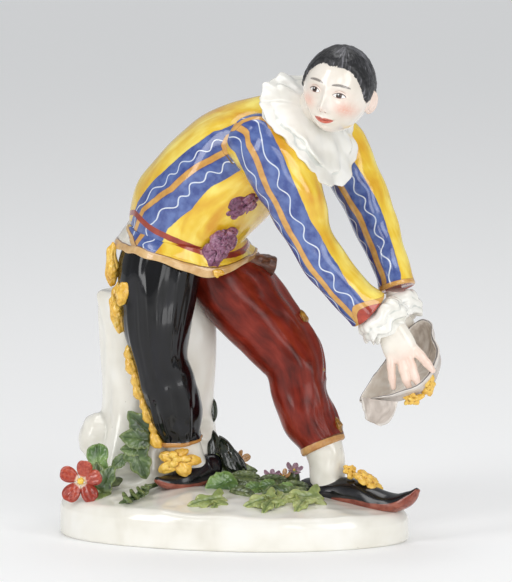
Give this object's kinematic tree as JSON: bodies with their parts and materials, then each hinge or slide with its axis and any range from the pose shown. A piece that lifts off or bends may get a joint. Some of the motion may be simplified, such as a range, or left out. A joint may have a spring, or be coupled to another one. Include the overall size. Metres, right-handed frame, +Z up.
{
  "type": "commedia dell'arte figure",
  "caption": "Glazed porcelain commedia dell'arte figure bowing with a hat held in both hands, standing against a tree stump on an oval base with leaves and flowers.",
  "frame": {"origin": "middle of the base's flat underside, on the surface it stands on", "axes": "+Z up, +X along the base to the viewer's right, -Y towards the viewer"},
  "size_m": [0.1306, 0.0752, 0.1679],
  "materials": {
    "white_porcelain": "creamy white hard-paste porcelain under a clear gloss glaze",
    "yellow_enamel": "brushed yellow overglaze enamel, glossy",
    "striped_jacket": "yellow and blue overglaze enamels with gilt braid, glossy",
    "black_enamel": "thick black overglaze enamel, very glossy",
    "iron_red_enamel": "brushed iron-red overglaze enamel, glossy",
    "green_enamel": "leaf green overglaze enamel, glossy",
    "purple_enamel": "manganese purple overglaze enamel, glossy",
    "grey_enamel": "thin warm grey overglaze enamel, glossy"
  },
  "bodies": {
    "root": {"porcelain_figure": "white_porcelain"}
  },
  "joints": []
}
